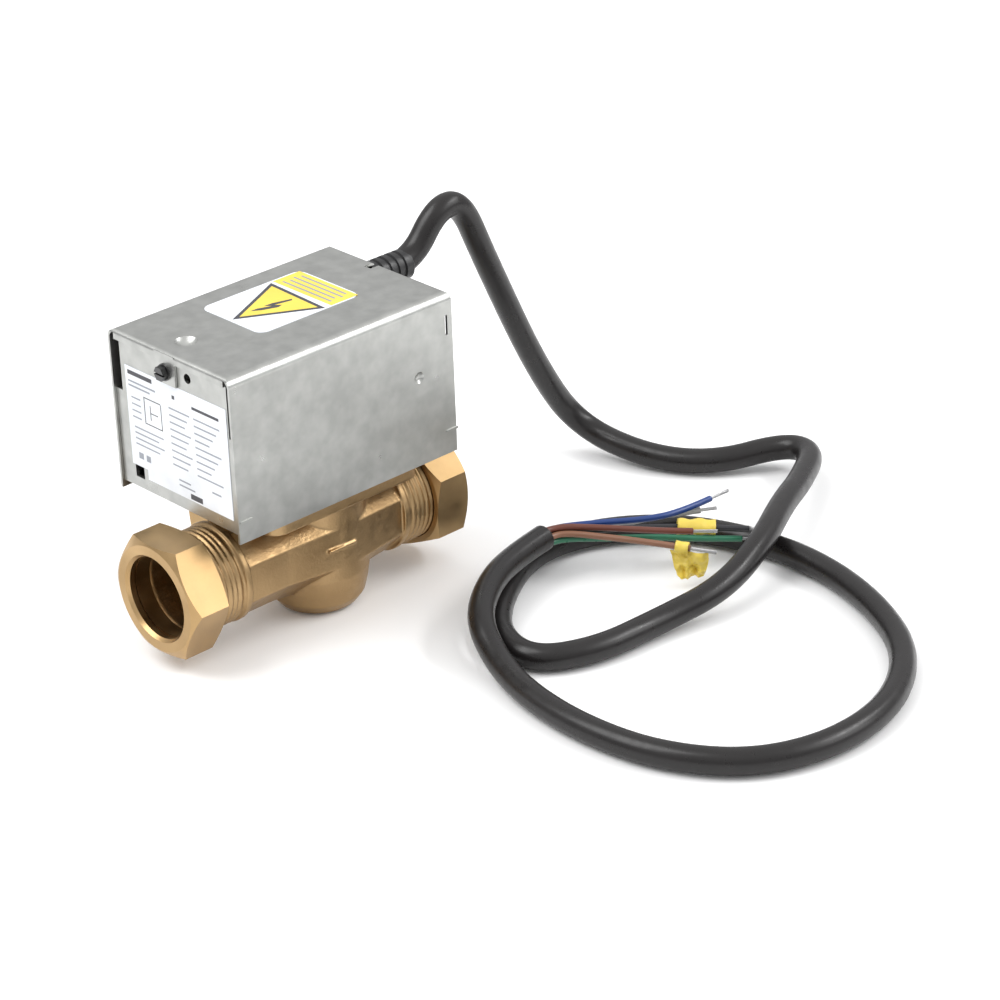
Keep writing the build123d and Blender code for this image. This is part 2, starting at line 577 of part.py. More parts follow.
def motor_rotor():
    x, y = MOTOR_XY
    spacing, angle = rotor_direction()
    rotor = cylinder(x, y, MOTOR_Z + 9.0, 9.5, MOTOR_Z + 20.0)
    rotor += cylinder(x, y, MOTOR_Z + 1.6, 1.0, MOTOR_Z + MOTOR_HEIGHT - 1.4)
    turn = Rot(0, 0, angle + 180 + 180 / ROTOR_TEETH)
    teeth = turn * toothed(spacing - WHEEL_R - 0.15, 2.4, ROTOR_TEETH)
    return rotor + Pos(x, y, MOTOR_Z + 3.0) * teeth


def motor_coil():
    x, y = MOTOR_XY
    coil = cylinder(x, y, MOTOR_Z + 9.4, 20.5, MOTOR_Z + 19.6)
    return coil - cylinder(x, y, MOTOR_Z, 11.5, MOTOR_Z + 30)


def motor_can():
    x, y = MOTOR_XY
    can = cylinder(x, y, MOTOR_Z, MOTOR_R, MOTOR_Z + MOTOR_HEIGHT)
    can = fillet(can.edges().group_by(Axis.Z)[-1], 2.0)
    can -= cylinder(x, y, MOTOR_Z - 1, MOTOR_R - MOTOR_WALL, MOTOR_Z + MOTOR_HEIGHT - MOTOR_WALL)
    return can


def motor_base():
    """Round closing plate of the motor with two ears for its screws."""
    x, y = MOTOR_XY
    plate = cylinder(x, y, MOTOR_Z - 1.2, MOTOR_R, MOTOR_Z)
    for ear_x, ear_y in motor_posts_places():
        plate += cylinder(ear_x, ear_y, MOTOR_Z - 1.2, 4.0, MOTOR_Z)
        reach_x, reach_y = (ear_x + x) / 2, (ear_y + y) / 2
        angle = math.degrees(math.atan2(ear_y - y, ear_x - x))
        plate += Pos(reach_x, reach_y, MOTOR_Z - 0.6) * Rot(0, 0, angle) * Box(
            math.hypot(ear_x - x, ear_y - y), 8.0, 1.2)
    px, py = pinion_place()
    plate -= cylinder(px, py, MOTOR_Z - 3, 1.5 + RUNNING_FIT, MOTOR_Z + 3)
    return plate


def motor_posts_places():
    x, y = MOTOR_XY
    return [(x + 17.5, y - 19.5), (x + 17.5, y + 19.5)]


def motor_posts():
    posts = []
    for x, y in motor_posts_places():
        post = cylinder(x, y, FLOOR_Z, 3.0, MOTOR_Z - 1.2)
        posts.append(post)
    return Compound(posts)


def motor_screws():
    screws = []
    for x, y in motor_posts_places():
        head = cylinder(x, y, MOTOR_Z, 2.7, MOTOR_Z + 1.9)
        slot = Pos(x, y, MOTOR_Z + 1.9) * Box(6, 0.8, 1.6)
        screws.append(head - slot)
    return Compound(screws)


def return_spring():
    """Torsion spring round the gear hub: coils under the gear and two legs."""
    coil = Helix(SPRING_PITCH, SPRING_PITCH * SPRING_TURNS, SPRING_R)
    start = Plane(origin=coil @ 0, z_dir=coil % 0)
    spring = sweep(start * Circle(SPRING_WIRE_R), path=coil, is_frenet=True)
    for end, leg_length in ((0, 5.0), (1, 7.0)):
        tangent = (coil % end) * (1 if end else -1)
        leg = Plane(origin=coil @ end, z_dir=(tangent.X, tangent.Y, 0))
        spring += extrude(leg * Circle(SPRING_WIRE_R), leg_length)
    return Pos(STEM_X, STEM_Y, FLOOR_Z + 0.65) * Rot(0, 0, SPRING_ANGLE) * spring


def micro_switch():
    body = block(SWITCH_X0, SWITCH_X0 + 20, SWITCH_Y0, SWITCH_Y0 + 6.4, FLOOR_Z + 2.0, FLOOR_Z + 12.3)
    body -= block(SWITCH_X0 + 12.4, SWITCH_X0 + 14.6, SWITCH_Y0 + 3.6, SWITCH_Y0 + 7,
                  FLOOR_Z + 6.0, FLOOR_Z + 8.6)
    for dx in (2.6, 17.2):
        body -= Pos(SWITCH_X0 + dx, SWITCH_Y0 + 3, FLOOR_Z + 6) * Cylinder(1.2, 30)
    return body


def switch_bracket():
    foot = block(SWITCH_X0 - 1, SWITCH_X0 + 21, SWITCH_Y0, SWITCH_Y0 + 6.4, FLOOR_Z, FLOOR_Z + 2.0)
    for dx in (2.6, 17.2):
        foot += cylinder(SWITCH_X0 + dx, SWITCH_Y0 + 3, FLOOR_Z + 1, 1.15, FLOOR_Z + 13.2)
    return foot


def switch_plunger():
    return block(SWITCH_X0 + 12.5, SWITCH_X0 + 14.5, SWITCH_Y0 + 4.6, SWITCH_Y0 + 7.4,
                 FLOOR_Z + 6.1, FLOOR_Z + 8.5)


def switch_lever():
    """Leaf lever hinged at the body's end, resting just clear of the plunger."""
    y = SWITCH_Y0 + 7.6
    leaf = block(SWITCH_X0 + 0.9, SWITCH_X0 + 20.5, y, y + 0.4, FLOOR_Z + 5.4, FLOOR_Z + 9.2)
    pin = cylinder(SWITCH_X0 + 1.0, y + 0.2, FLOOR_Z + 5.4, 0.6, FLOOR_Z + 9.2)
    return leaf + pin


def switch_pivot():
    """Small bracket on the switch that carries the lever's pin."""
    y = SWITCH_Y0 + 7.8
    lugs = block(SWITCH_X0 - 0.4, SWITCH_X0 + 2.0, SWITCH_Y0 + 6.4, y + 0.9, FLOOR_Z + 4.2, FLOOR_Z + 5.2)
    lugs += block(SWITCH_X0 - 0.4, SWITCH_X0 + 2.0, SWITCH_Y0 + 6.4, y + 0.9, FLOOR_Z + 9.4, FLOOR_Z + 10.4)
    return lugs


# ---- wiring ----

def strain_relief():
    """Ribbed bush in the notch of the rear plate, with the flex through it."""
    profile = [
        (0, BOOT_START), (4.9, BOOT_START), (4.9, REAR_FACE - PLATE - 0.05),
        (3.95, REAR_FACE - PLATE - 0.05), (3.95, REAR_FACE + 0.05), (BOOT_R + 0.3, REAR_FACE + 0.05)]
    x = REAR_FACE + 2.6
    while x < BOOT_END - 3.0:
        profile += [(BOOT_R + 0.3, x), (BOOT_R - 0.3, x + 0.3), (BOOT_R - 0.3, x + 1.2),
                    (BOOT_R + 0.3, x + 1.5)]
        x += 3.2
    profile += [(BOOT_R + 0.3, BOOT_END - 0.3), (BOOT_R, BOOT_END), (0, BOOT_END)]
    bush = Pos(0, BOOT_Y, BOOT_Z) * Rot(0, 90, 0) * turned(profile)
    bore = Pos(BOOT_END, BOOT_Y, BOOT_Z) * Rot(0, 90, 0) * Cylinder(CABLE_R + BORE_CLEARANCE, 14)
    mouth = Pos(BOOT_END - 1.0, BOOT_Y, BOOT_Z) * Rot(0, 90, 0) * Cone(CABLE_R + BORE_CLEARANCE, CABLE_R + 0.25, 2.2)
    wires = Pos(BOOT_START, BOOT_Y, BOOT_Z) * Rot(0, 90, 0) * Cylinder(3.2, 40)
    return bush - bore - mouth - wires


def core_tip(name):
    """End of a core's sheath and the way it points."""
    before, last = CORES[name][-2:]
    return Vector(*last), (Vector(*last) - Vector(*before)).normalized()


def bare_ends():
    """Twisted copper at the tips of the cores, carrying straight on."""
    tips = []
    for name, length in BARE_LENGTHS.items():
        last, outward = core_tip(name)
        tips.append(extrude(Plane(origin=last, z_dir=outward) * Circle(BARE_R), length))
    return Compound(tips)


def sleeve_black():
    """Loose yellow sleeve over the black core."""
    last, outward = core_tip("core_black")
    plane = Plane(origin=last + outward * SLEEVE_START, z_dir=outward)
    return extrude(plane * (Circle(SLEEVE_R) - Circle(CORE_R + 0.6)), SLEEVE_LENGTH)


def tape_flag():
    """Yellow tape round the end of the orange core, its tail hanging down."""
    last, outward = core_tip("core_orange")
    plane = Plane(origin=last - outward * 5.0, z_dir=outward)
    wrap = extrude(plane * (Circle(2.3) - Circle(CORE_R)), 4.5)
    angle = math.degrees(math.atan2(outward.Y, outward.X))
    tail = Pos(last.X - outward.X * 1.5, last.Y - outward.Y * 1.5, last.Z - 6.0) * Rot(0, 0, angle)
    return wrap + tail * Box(11.0, 1.2, 9.0)


def inner_wires():
    """Leads from the flex to the motor and the switch."""
    leads = []
    starts = [(-1.4, 0.9), (1.4, 0.9), (0, -1.5)]
    ends = [(30.0, 24.2, 92.0), (12.0, 23.6, 90.0), (-24.0, -24.0, FLOOR_Z + 16.0)]
    middles = [(40.0, 20.0, 97.0), (36.0, 22.0, 94.5), (10.0, -24.5, 97.5)]
    for (dy, dz), middle, end in zip(starts, middles, ends):
        first = (BOOT_START + 6, BOOT_Y + dy, BOOT_Z + dz)
        second = (BOOT_START - 4, BOOT_Y + dy, BOOT_Z + dz)
        points = [first, second, middle, end]
        leads.append(tube(points, 0.9)[0])
    return Compound(leads)


def earth_screw():
    x, y = -30.0, -20.0
    head = cylinder(x, y, FLOOR_Z + 1.0, 3.0, FLOOR_Z + 3.0) - Pos(x, y, FLOOR_Z + 3) * Box(7, 0.8, 1.6)
    return head


def earth_tag():
    x, y = -30.0, -20.0
    tag = cylinder(x, y, FLOOR_Z, 3.8, FLOOR_Z + 1.0)
    return tag + block(x, x + 10, y - 1.8, y + 1.8, FLOOR_Z, FLOOR_Z + 1.0)


def main():
    os.makedirs("parts", exist_ok=True)
    places = port_places()
    save(valve_body(), "valve_body")
    for port, place in places.items():
        save(place * Rot(0, 0, NUT_TURN[port]) * port_nut(), f"port_{port}_nut")
    save(Compound([place * olive() for place in places.values()]), "olives")
    cable, path = tube(CABLE_ROUTE, CABLE_R)
    print("flex length", round(path.length, 1), "volume ratio",
          round(cable.volume / (path.length * math.pi * CABLE_R ** 2), 4))
    print("bend radii", [round(radius, 1) for radius in turn_radii(CABLE_ROUTE)])
    for name, points in CORES.items():
        core, route = tube(points, CORE_R)
        print(name, round(route.length, 1), [round(radius, 1) for radius in turn_radii(points)])
        save(core, name)
        cable -= core
    save(cable, "flex_cable")
    save(strain_relief(), "strain_relief")
    makers = [
        bare_ends, sleeve_black, tape_flag,
        bonnet_gasket, bonnet_plate, bonnet_screws, head_screws, stem_o_ring, chassis, cover,
        cover_screw, front_label, top_sticker,
        motor_pinion, reduction_wheel, motor_rotor, motor_coil, motor_can, motor_base, motor_posts,
        motor_screws, return_spring, micro_switch, switch_bracket, switch_plunger, switch_lever,
        switch_pivot, inner_wires, earth_screw, earth_tag]
    for maker in makers:
        save(maker(), maker.__name__)
    for maker in (valve_stem, stem_clip, ball_arm, seat_ball, sector_gear):
        save(PARKED * maker(), maker.__name__)


main()
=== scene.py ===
import math

import bpy
from mathutils import Matrix, Vector, noise


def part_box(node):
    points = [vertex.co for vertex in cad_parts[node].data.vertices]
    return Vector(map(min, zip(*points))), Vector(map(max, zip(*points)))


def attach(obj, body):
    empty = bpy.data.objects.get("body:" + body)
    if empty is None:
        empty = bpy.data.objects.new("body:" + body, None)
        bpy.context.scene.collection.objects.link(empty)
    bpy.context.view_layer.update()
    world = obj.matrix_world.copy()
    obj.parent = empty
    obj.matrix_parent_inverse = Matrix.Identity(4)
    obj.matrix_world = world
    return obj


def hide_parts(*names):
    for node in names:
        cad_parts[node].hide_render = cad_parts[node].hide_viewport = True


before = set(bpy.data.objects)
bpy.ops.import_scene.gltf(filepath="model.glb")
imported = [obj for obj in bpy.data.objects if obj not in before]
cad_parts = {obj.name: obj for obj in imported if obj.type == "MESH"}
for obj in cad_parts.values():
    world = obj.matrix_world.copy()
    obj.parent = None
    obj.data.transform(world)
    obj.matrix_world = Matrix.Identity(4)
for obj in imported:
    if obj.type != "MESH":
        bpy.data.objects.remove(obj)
MM = 0.001

BODY = "valve_and_head"
CORES = ("blue", "grey", "black", "brown", "green", "orange")

# Flex and cores, in millimetres, as in the CAD.
CABLE_R = 4.5
CORE_R = 1.1
BARE_R = 0.5
CABLE_ROUTE = [
    (61, 7, 98), (71, 7, 98), (82.5, 6.5, 113.4), (93.5, 6.2, 113.2), (103.2, 5.9, 89.8),
    (129.5, 9.3, 38), (148.5, 8.6, 8.7), (152, -23.3, 4.8), (165, -45, 4.8),
    (187.5, -57.5, 8.3), (188, -71.5, 9.7), (164, -86.5, 12), (143, -97, 14.6),
    (118, -111, 14.8), (92, -117.5, 9.5), (66, -111.5, 4.8), (40, -110.5, 4.8),
    (20.5, -100, 4.8), (25, -79, 4.8), (44, -61, 4.8), (72, -46, 4.8),
    (98, -50, 4.8), (120, -68, 4.8), (131, -94, 4.8), (133, -124, 4.8),
    (124, -156, 4.8), (107, -184, 4.8), (80, -201.5, 4.8), (50, -205, 4.8),
    (23, -195, 4.8), (7, -172, 4.8), (2, -144, 4.8), (4.5, -115, 4.8),
    (11, -94, 6.4), (17.8, -78.3, 12.5), (33, -66.5, 14.6), (51, -58.5, 14.9),
    (69.5, -55.5, 14.9)]
CORE_ROUTES = {
    "blue": [(66.2, -53.7, 15.6), (74, -52.5, 15.6), (87, -60.5, 15.6), (103, -72.5, 15.2),
             (115.5, -76.3, 15.0), (129.3, -76.2, 14.6)],
    "grey": [(66.3, -54.6, 13.0), (74, -53.4, 13.0), (86, -58, 12.2), (98, -63.5, 12.0),
             (108.4, -67.6, 12.0), (117.1, -71.7, 11.8), (124.3, -76.2, 12.0)],
    "black": [(66.5, -56.0, 14.9), (74, -54.8, 14.9), (87, -64.5, 14.6), (102, -76.2, 14.0),
              (113.5, -85.8, 12.9), (126.0, -97.4, 11.6)],
    "brown": [(66.5, -56.0, 17.3), (74, -54.8, 17.3), (84.5, -66.5, 17.0), (93.5, -77.5, 16.6),
              (100.3, -86, 16.5), (105.5, -90.8, 16.2)],
    "green": [(66.8, -57.4, 13.0), (74, -56.2, 13.0), (86, -67, 12.4), (99, -78.2, 12.0),
              (110.5, -87.9, 10.4), (123.8, -96.0, 8.2)],
    "orange": [(66.9, -58.2, 15.6), (72.5, -57.3, 15.5), (77.5, -60.8, 15.4),
               (83, -70.0, 15.3), (91.1, -83.5, 15.0), (98.7, -95.9, 14.0)]}
BARE_LENGTHS = {"blue": 9.0, "grey": 5.8, "black": 2.5,
                "brown": 8.2, "green": 3.0, "orange": 9.0}
SLEEVE_START, SLEEVE_LENGTH = 24.5, 13.0  # from the end of the black core, backwards
WRAP_START, WRAP_END = 5.0, 0.5           # from the end of the orange core

# Print on the labels, in millimetres.
PRINT_THICK = 0.03
LINE = 0.35


# ---------------------------------------------------------------- materials

def material(name, color, metallic=0.0, roughness=0.5, **settings):
    """Principled material with constant settings."""
    mat = bpy.data.materials.new(name)
    mat.use_nodes = True
    shader = mat.node_tree.nodes["Principled BSDF"]
    shader.inputs["Base Color"].default_value = (*color, 1)
    shader.inputs["Metallic"].default_value = metallic
    shader.inputs["Roughness"].default_value = roughness
    for socket, value in settings.items():
        shader.inputs[socket.replace("_", " ")].default_value = value
    return mat


def noise_node(mat, scale, detail):
    """Noise in object space."""
    nodes, links = mat.node_tree.nodes, mat.node_tree.links
    coords = nodes.new("ShaderNodeTexCoord")
    tex = nodes.new("ShaderNodeTexNoise")
    tex.inputs["Scale"].default_value = scale
    tex.inputs["Detail"].default_value = detail
    links.new(coords.outputs["Object"], tex.inputs["Vector"])
    return tex.outputs["Fac"]


def ramp(mat, source, stops):
    """Colour ramp over (position, colour) stops."""
    node = mat.node_tree.nodes.new("ShaderNodeValToRGB")
    elements = node.color_ramp.elements
    while len(elements) < len(stops):
        elements.new(0.5)
    for element, (position, color) in zip(elements, stops):
        element.position = position
        element.color = (*color, 1)
    mat.node_tree.links.new(source, node.inputs["Fac"])
    return node.outputs["Color"]


def connect(mat, source, socket):
    """Feeds one input of the material's shader."""
    shader = mat.node_tree.nodes["Principled BSDF"]
    mat.node_tree.links.new(source, shader.inputs[socket])


def vary(mat, socket, scale, detail, low_tone, high_tone, high_stop=0.7):
    """Lets noise move an input between two colours."""
    stops = [(0.3, low_tone), (high_stop, high_tone)]
    connect(mat, ramp(mat, noise_node(mat, scale, detail), stops), socket)


def bump(mat, scale, detail, strength, distance):
    """Noise as a fine relief."""
    node = mat.node_tree.nodes.new("ShaderNodeBump")
    node.inputs["Strength"].default_value = strength
    node.inputs["Distance"].default_value = distance
    mat.node_tree.links.new(noise_node(mat, scale, detail), node.inputs["Height"])
    connect(mat, node.outputs["Normal"], "Normal")


def grey(value):
    return (value, value, value)


def sheet_steel():
    """Galvanised sheet: cloudy tone and finely mottled gloss."""
    mat = material("galvanised_sheet", (0.43, 0.43, 0.42), 0.94, 0.36)
    vary(mat, "Base Color", 190, 2, (0.385, 0.39, 0.375), (0.465, 0.47, 0.452))
    vary(mat, "Roughness", 60, 2, grey(0.27), grey(0.40), 0.75)
    bump(mat, 380, 1, 0.03, 0.0002)
    return mat


def cast_brass():
    """Blasted forging: warm, satin, with a fine grain."""
    mat = material("forged_brass", (0.37, 0.25, 0.125), 1.0, 0.42)
    vary(mat, "Base Color", 40, 5, (0.315, 0.205, 0.10), (0.44, 0.30, 0.155))
    vary(mat, "Roughness", 300, 3, grey(0.34), grey(0.48))
    bump(mat, 900, 3, 0.35, 0.0003)
    return mat


def turned_brass():
    """Machined nut: brighter, with slight tarnish clouds."""
    mat = material("machined_brass", (0.46, 0.305, 0.15), 1.0, 0.34)
    vary(mat, "Base Color", 60, 5, (0.385, 0.25, 0.115), (0.53, 0.36, 0.18))
    vary(mat, "Roughness", 120, 2, grey(0.28), grey(0.42), 0.75)
    bump(mat, 500, 2, 0.08, 0.0002)
    return mat


def steel(name, tone, roughness):
    """Plain metal with a slightly uneven gloss."""
    mat = material(name, (tone, tone, tone * 1.01), 1.0, roughness)
    vary(mat, "Roughness", 300, 3, grey(roughness - 0.06), grey(roughness + 0.08))
    return mat


def plastic(name, color, roughness, grain=0.05, scale=700, specular=0.5):
    """Moulded or extruded plastic with a faint grain and tone."""
    mat = material(name, color, 0.0, roughness, Specular_IOR_Level=specular)
    darker = tuple(channel * 0.86 for channel in color)
    vary(mat, "Base Color", 90, 4, darker, color)
    vary(mat, "Roughness", 260, 4, grey(roughness - 0.05), grey(roughness + 0.07))
    bump(mat, scale, 3, grain, 0.0002)
    return mat


MATERIALS = {
    "galvanised": sheet_steel(),
    "cast": cast_brass(),
    "nut": turned_brass(),
    "bright": steel("bright_steel", 0.62, 0.28),
    "dark": steel("black_zinc", 0.10, 0.32),
    "spring": steel("spring_wire", 0.42, 0.3),
    "pvc": plastic("flex_sheath", (0.013, 0.0115, 0.0115), 0.30, 0.10, 500, 0.38),
    "boot": plastic("strain_relief_nylon", (0.014, 0.014, 0.015), 0.4),
    "nylon": plastic("white_nylon", (0.74, 0.74, 0.70), 0.45),
    "black": plastic("black_nylon", (0.02, 0.02, 0.02), 0.45),
    "rubber": plastic("nitrile", (0.018, 0.018, 0.018), 0.6),
    "fibre": plastic("gasket_fibre", (0.045, 0.05, 0.045), 0.75),
    "winding": plastic("winding_tape", (0.34, 0.12, 0.03), 0.4),
    "paper": plastic("label_paper", (0.80, 0.83, 0.87), 0.38, 0.02),
    "yellow": plastic("sticker_yellow", (0.84, 0.63, 0.08), 0.35, 0.02),
    "ink": plastic("print_ink", (0.05, 0.05, 0.06), 0.45, 0.02),
    "ink_grey": plastic("print_fine", (0.30, 0.32, 0.36), 0.45, 0.02),
    "tape": plastic("yellow_tape", (0.76, 0.58, 0.09), 0.3, 0.1),
    "blue": plastic("core_blue_pvc", (0.012, 0.045, 0.20), 0.32),
    "grey": plastic("core_grey_pvc", (0.34, 0.34, 0.33), 0.35),
    "core_black": plastic("core_black_pvc", (0.016, 0.016, 0.02), 0.34),
    "brown": plastic("core_brown_pvc", (0.135, 0.036, 0.021), 0.34),
    "green": plastic("core_green_pvc", (0.02, 0.15, 0.08), 0.32),
    "orange": plastic("core_orange_pvc", (0.23, 0.105, 0.058), 0.36),
    "copper": steel("tinned_copper", 0.48, 0.36),
}


def paint(obj, name):
    """Gives an object one material of the list."""
    obj.data.materials.clear()
    obj.data.materials.append(MATERIALS[name])


# ---------------------------------------------------------------- geometry

def mesh_object(name, verts, faces, mat, smooth=False):
    """Mesh from millimetre points, painted with one material of the list."""
    mesh = bpy.data.meshes.new(name)
    mesh.from_pydata([Vector(v) * MM for v in verts], [], faces)
    mesh.update()
    obj = bpy.data.objects.new(name, mesh)
    bpy.context.collection.objects.link(obj)
    for polygon in mesh.polygons:
        polygon.use_smooth = smooth
    paint(obj, mat)
    return obj


def plates(name, outlines, origin, across, up, thick, mat):
    """Thin printed areas: 2-D outlines on a plane, raised by their thickness."""
    out = Vector(across).cross(Vector(up))
    verts, faces = [], []
    for outline in outlines:
        start = len(verts)
        count = len(outline)
        for lift in (0.0, thick):
            for u, v in outline:
                verts.append(Vector(origin) + Vector(across) * u + Vector(up) * v + out * lift)
        faces.append([start + count + i for i in range(count)])
        faces.append([start + count - 1 - i for i in range(count)])
        for i in range(count):
            j = (i + 1) % count
            faces.append([start + i, start + j, start + count + j, start + count + i])
    return mesh_object(name, verts, faces, mat)


def bar(u, v, width, height):
    """Rectangle from its lower left corner."""
    return [(u, v), (u + width, v), (u + width, v + height), (u, v + height)]


def nurbs_cord(name, points, radius, mat):
    """Round cord along control points in millimetres."""
    curve = bpy.data.curves.new(name, "CURVE")
    curve.dimensions = "3D"
    spline = curve.splines.new("NURBS")
    spline.points.add(len(points) - 1)
    for target, point in zip(spline.points, points):
        target.co = (*(Vector(point) * MM), 1)
    spline.order_u = 3
    spline.use_endpoint_u = True
    spline.resolution_u = 16
    curve.bevel_depth = radius * MM
    curve.bevel_resolution = 8
    curve.use_fill_caps = True
    obj = bpy.data.objects.new(name, curve)
    bpy.context.collection.objects.link(obj)
    paint(obj, mat)
    return obj


def end_of(obj):
    """Last control point of a cord and the way it points there, in millimetres."""
    points = obj.data.splines[0].points
    last = Vector(points[-1].co[:3]) / MM
    before = Vector(points[-2].co[:3]) / MM
    return last, (last - before).normalized()


def frame_along(direction):
    """Rotation that turns +Z to the direction."""
    return direction.to_track_quat("Z", "Y").to_matrix()


def between(start, end, count):
    """Evenly spaced points from one to the other."""
    return [start.lerp(end, index / (count - 1)) for index in range(count)]


def tube_quads(base, rings, sides):
    """Side faces of a tube whose rings of points start at the given index."""
    quads = []
    for ring in range(rings - 1):
        for side in range(sides):
            here = base + ring * sides + side
            beside = base + ring * sides + (side + 1) % sides
            quads.append([here, beside, beside + sides, here + sides])
    return quads


# ---------------------------------------------------------------- the flex

def twisted_end(name, start, direction, length):
    """Bared conductor: strands twisted round each other, splaying a little at the tip."""
    strands, rings, sides = 7, 14, 6
    strand_r, lay_r = 0.19, 0.37
    turn = frame_along(direction)
    verts, faces = [], []
    for strand in range(strands):
        base = len(verts)
        phase = 2 * math.pi * strand / (strands - 1)
        away = 0.0 if strand == strands - 1 else lay_r
        for ring in range(rings):
            t = ring / (rings - 1)
            angle = phase + 2.2 * math.pi * t
            spread = away * (1 + 0.35 * t * t)
            middle = Vector((spread * math.cos(angle), spread * math.sin(angle), length * t))
            for side in range(sides):
                around = 2 * math.pi * side / sides
                offset = Vector((strand_r * math.cos(around), strand_r * math.sin(around), 0))
                verts.append(start + turn @ (middle + offset))
        faces += tube_quads(base, rings, sides)
        faces.append([base + sides - 1 - side for side in range(sides)])
        faces.append([base + (rings - 1) * sides + side for side in range(sides)])
    return mesh_object(name, verts, faces, "copper", True)


def crumpled_sleeve(name, middle_line, radii, seed):
    """Loose sleeve round a line of points, dented by noise; open at both ends."""
    sides, wall = 28, 0.28
    verts, faces = [], []
    rings = len(middle_line)
    for layer in (0, 1):
        for ring, (point, radius) in enumerate(zip(middle_line, radii)):
            ahead = middle_line[min(ring + 1, rings - 1)]
            behind = middle_line[max(ring - 1, 0)]
            turn = frame_along((ahead - behind).normalized())
            for side in range(sides):
                around = 2 * math.pi * side / sides
                flat = Vector((math.cos(around), math.sin(around), 0))
                probe = point * 0.28 + flat * 1.3 + Vector((seed, 0, 0))
                dent = 1 + 0.16 * noise.noise(probe) + 0.06 * noise.noise(probe * 3.1)
                verts.append(point + turn @ (flat * (radius * dent - layer * wall)))
    inner = rings * sides
    faces += tube_quads(0, rings, sides)
    faces += [quad[::-1] for quad in tube_quads(inner, rings, sides)]
    for ring, flip in ((0, True), (rings - 1, False)):
        for side in range(sides):
            here = ring * sides + side
            beside = ring * sides + (side + 1) % sides
            quad = [here, beside, inner + beside, inner + here]
            faces.append(quad[::-1] if flip else quad)
    return mesh_object(name, verts, faces, "tape", True)


def stand_in(obj, node):
    """Hides a piece's CAD node and shows the piece in its place, riding on the fixed body."""
    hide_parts(node)
    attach(obj, BODY)


def build_sheath():
    """The flex's black sheath, held by the strain relief."""
    cable = nurbs_cord("flex", CABLE_ROUTE, CABLE_R, "pvc")
    stand_in(cable, "flex_cable")


def yellow_pieces(name, last, outward):
    """The loose sleeve on the black core, the tape on the orange one, nothing elsewhere."""
    if name == "black":
        start = last - outward * SLEEVE_START
        line = between(start, start + outward * SLEEVE_LENGTH, 16)
        radii = [2.75 + 0.25 * math.sin(ring * 0.9) for ring in range(16)]
        sleeve = crumpled_sleeve("sleeve_on_black", line, radii, 3.0)
        stand_in(sleeve, "sleeve_black")
        return [sleeve]
    if name == "orange":
        line = between(last - outward * WRAP_START, last - outward * WRAP_END, 8)
        pieces = [crumpled_sleeve("tape_wrap", line, [2.0] * 8, 7.0), tape_tail(last, outward)]
        for piece in pieces:
            stand_in(piece, "tape_flag")
        return pieces
    return []


def build_cores():
    """Six cores with their bared ends, leaving the end of the sheath."""
    for name in CORES:
        core = nurbs_cord("core_" + name + "_sheath", CORE_ROUTES[name], CORE_R,
                          "core_black" if name == "black" else name)
        stand_in(core, "core_" + name)
        last, outward = end_of(core)
        tip = twisted_end("bare_" + name, last - outward * 0.3, outward, BARE_LENGTHS[name] + 0.3)
        stand_in(tip, "bare_ends")
        [tip] + yellow_pieces(name, last, outward)


def tape_tail(last, outward):
    """Crumpled tail of tape hanging under the end of the orange core."""
    columns, rows = 26, 22
    width, height, wall = 13.0, 9.5, 0.35
    along = Vector((outward.x, outward.y, 0)).normalized()
    normal = along.cross(Vector((0, 0, 1)))
    top = last - outward * 0.4 + Vector((0, 0, -1.2))
    verts, faces = [], []
    for layer in (0, 1):
        for row in range(rows):
            for column in range(columns):
                u, v = column / (columns - 1), row / (rows - 1)
                taper = 1 - 0.42 * v * v
                across = along * ((u - 0.5) * width * taper + 0.9 * v)
                point = top + across - Vector((0, 0, v * height))
                probe = Vector((u * 2.6, v * 2.2, 5.0))
                fold = 3.0 * noise.noise(probe * 1.25) + 1.3 * noise.noise(probe * 3.1)
                verts.append(point + normal * (fold * (0.35 + v) + layer * wall))
    count = columns * rows
    for row in range(rows - 1):
        for column in range(columns - 1):
            corner = row * columns + column
            quad = [corner, corner + 1, corner + 1 + columns, corner + columns]
            faces.append(quad)
            faces.append([index + count for index in quad[::-1]])
    rim = list(range(columns))
    rim += [row * columns + columns - 1 for row in range(1, rows)]
    rim += [(rows - 1) * columns + column for column in range(columns - 2, -1, -1)]
    rim += [row * columns for row in range(rows - 2, 0, -1)]
    for here, beside in zip(rim, rim[1:] + rim[:1]):
        faces.append([here, here + count, beside + count, beside])
    return mesh_object("tape_tail", verts, faces, "tape", False)


# ---------------------------------------------------------------- labels

def box_diagram(left, bottom, width, height):
    """Thin frame with a branching line in it."""
    return [bar(left, bottom, width, LINE), bar(left, bottom + height, width, LINE),
            bar(left, bottom, LINE, height), bar(left + width, bottom, LINE, height),
            bar(left + 3.0, bottom + 2.0, LINE, 5.2), bar(left + 3.0, bottom + 4.4, 4.0, LINE)]


